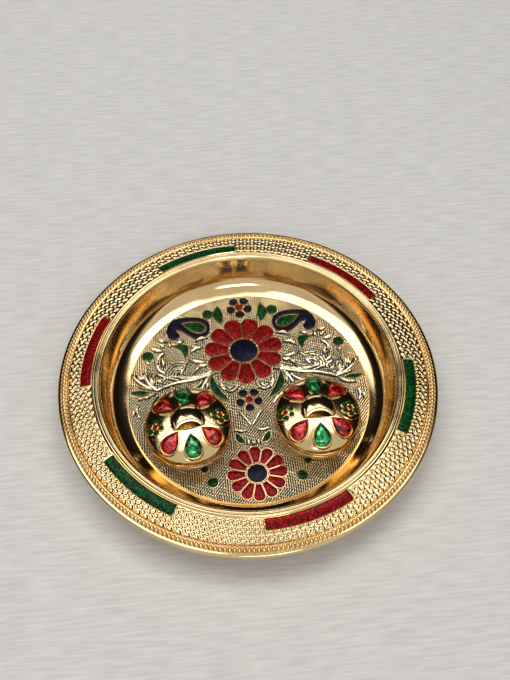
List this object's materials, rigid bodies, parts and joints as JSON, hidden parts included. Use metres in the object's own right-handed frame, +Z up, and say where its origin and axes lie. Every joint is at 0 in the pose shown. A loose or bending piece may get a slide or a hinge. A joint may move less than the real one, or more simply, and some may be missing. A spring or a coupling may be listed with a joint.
{
  "type": "kumkum tray",
  "caption": "Round deep plate with a wide beaded rim, enamelled floral floor and fixed covered pots for kumkum and turmeric powder.",
  "frame": {"origin": "on the surface that the tray stands on, under the middle of the plate", "axes": "+Z up; -Y is the front, where the small red flower and both pots are; +X is the right-hand side"},
  "size_m": [0.2032, 0.2032, 0.0286],
  "materials": {
    "gold_plated_brass": "gold plated, polished",
    "red_enamel": "glossy, with fine glitter",
    "green_enamel": "glossy, with fine glitter",
    "blue_enamel": "glossy, with fine glitter",
    "red_glass": "polished, foil-backed",
    "green_glass": "polished, foil-backed"
  },
  "bodies": {
    "root": {"tray_dish": "gold_plated_brass", "rim_enamel_1_red": "red_enamel", "rim_enamel_2_green": "green_enamel", "rim_enamel_3_red": "red_enamel", "rim_enamel_4_green": "green_enamel", "rim_enamel_5_red": "red_enamel", "rim_enamel_6_green": "green_enamel", "back_flower_petals": "blue_enamel", "back_flower_centre": "red_enamel", "large_flower_petals": "red_enamel", "large_flower_centre": "blue_enamel", "middle_flower_petals": "blue_enamel", "middle_flower_centre": "red_enamel", "front_flower_petals": "red_enamel", "front_flower_centre": "blue_enamel", "paisley_left": "blue_enamel", "paisley_drop_left": "green_enamel", "paisley_right": "blue_enamel", "paisley_drop_right": "green_enamel", "back_dot_left": "green_enamel", "side_dot_left": "green_enamel", "front_dot_left": "green_enamel", "back_dot_right": "green_enamel", "side_dot_right": "green_enamel", "front_dot_right": "green_enamel", "crown_leaf_left": "green_enamel", "curl_leaf_left": "green_enamel", "long_leaf_left": "green_enamel", "bud_leaf_left": "green_enamel", "crown_leaf_right": "green_enamel", "curl_leaf_right": "green_enamel", "long_leaf_right": "green_enamel", "bud_leaf_right": "green_enamel", "cup_left": "gold_plated_brass", "cup_rivet_left": "gold_plated_brass", "cup_right": "gold_plated_brass", "cup_rivet_right": "gold_plated_brass"},
    "left_lid": {"lid_left": "gold_plated_brass", "stone_left_1_red": "red_glass", "stone_left_2_green": "green_glass", "stone_left_3_red": "red_glass", "stone_left_4_red": "red_glass", "stone_left_5_green": "green_glass", "stone_left_6_red": "red_glass", "rosette_left_1_petals": "green_enamel", "rosette_left_1_eye": "red_enamel", "rosette_left_2_petals": "green_enamel", "rosette_left_2_eye": "red_enamel"},
    "right_lid": {"lid_right": "gold_plated_brass", "stone_right_1_red": "red_glass", "stone_right_2_green": "green_glass", "stone_right_3_red": "red_glass", "stone_right_4_red": "red_glass", "stone_right_5_green": "green_glass", "stone_right_6_red": "red_glass", "rosette_right_1_petals": "green_enamel", "rosette_right_1_eye": "red_enamel", "rosette_right_2_petals": "green_enamel", "rosette_right_2_eye": "red_enamel"}
  },
  "joints": [
    {"name": "left_lid_lift", "type": "slide", "parent": "root", "child": "left_lid", "axis": [0, 0, 1], "range_m": [0, 0.04]},
    {"name": "right_lid_lift", "type": "slide", "parent": "root", "child": "right_lid", "axis": [0, 0, 1], "range_m": [0, 0.04]}
  ]
}
